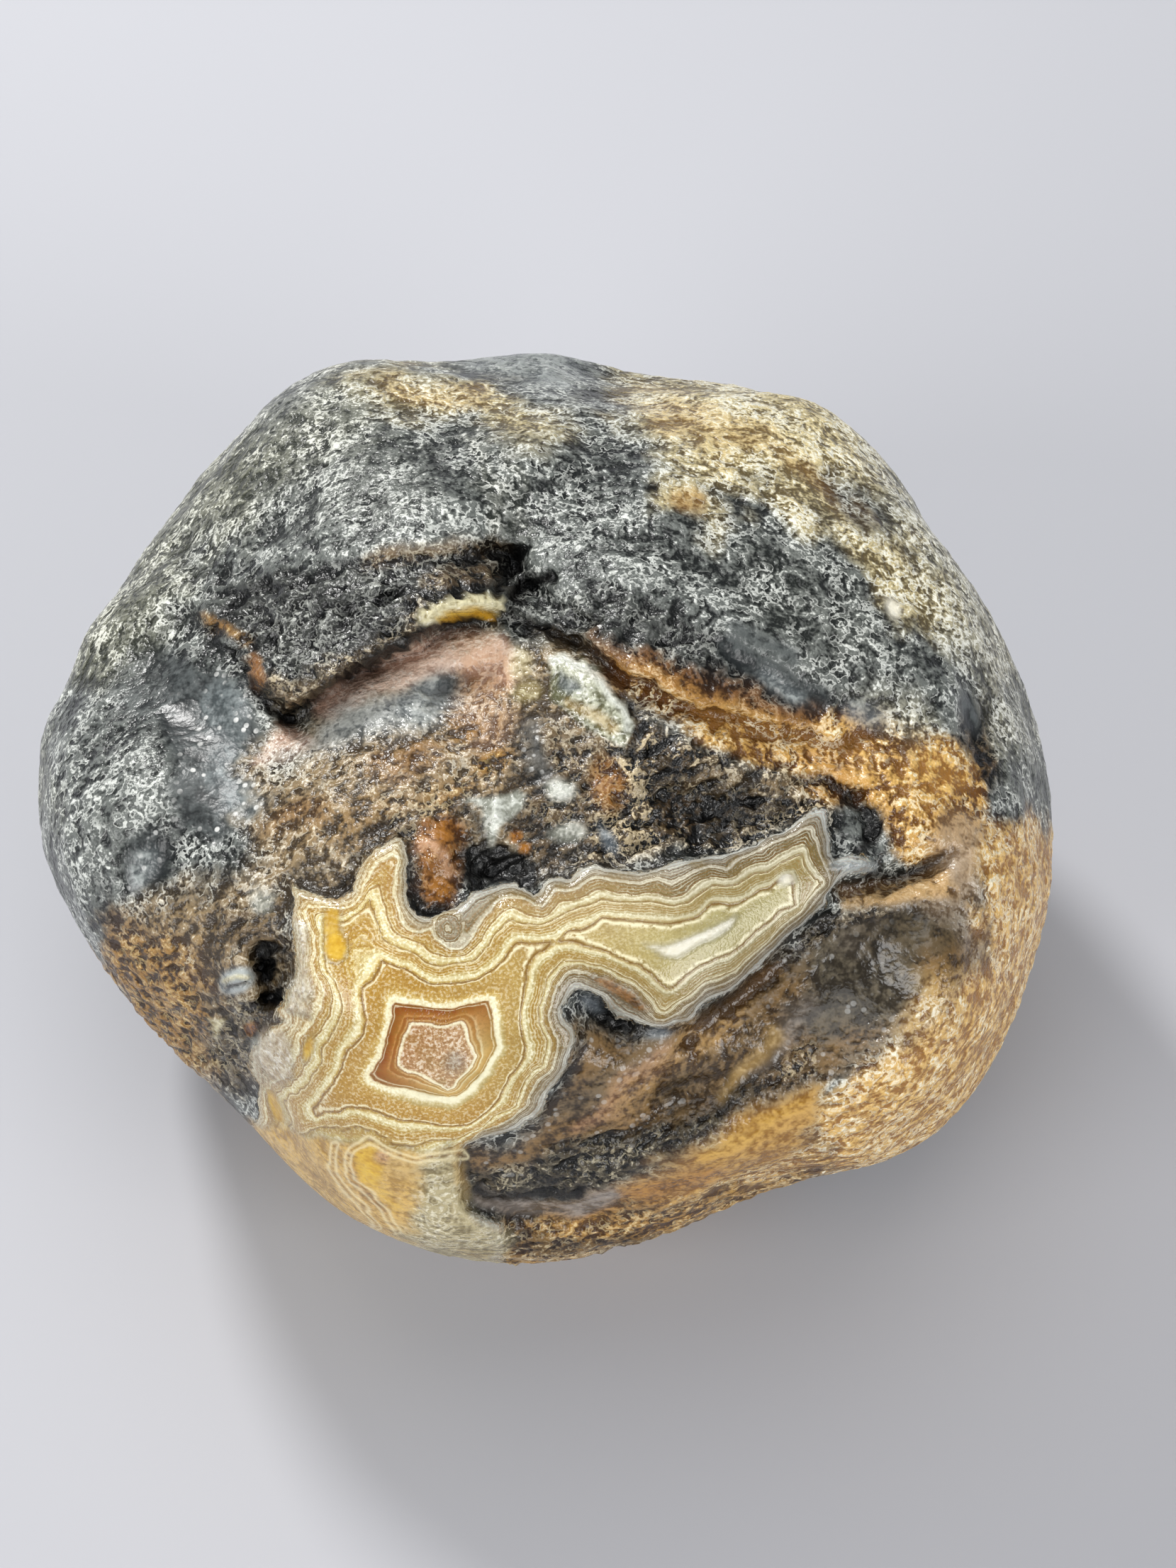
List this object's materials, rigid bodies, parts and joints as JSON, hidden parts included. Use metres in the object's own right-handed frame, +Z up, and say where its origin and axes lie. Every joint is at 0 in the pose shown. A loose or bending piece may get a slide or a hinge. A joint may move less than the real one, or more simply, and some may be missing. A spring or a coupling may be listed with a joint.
{
  "type": "fairburn agate",
  "caption": "Water-worn banded agate pebble: dark chatter-marked shoulders over an amber and brown face with a fortification-banded window.",
  "frame": {"origin": "under the middle of the stone's box, on the surface it rests on", "axes": "+Z up from the resting spot; +X to the right and -Y towards a viewer who faces the banded window, which looks towards -Y and up"},
  "size_m": [0.0686, 0.0674, 0.0469],
  "materials": {
    "agate": "naturally worn chalcedony with a satin to glossy skin: near-black shoulders covered in pale crescent chatter marks, amber and brown rough zones, smoky smooth hollows, and a cream, gold and blue-grey banded window"
  },
  "bodies": {
    "root": {"agate_pebble": "agate"}
  },
  "joints": []
}
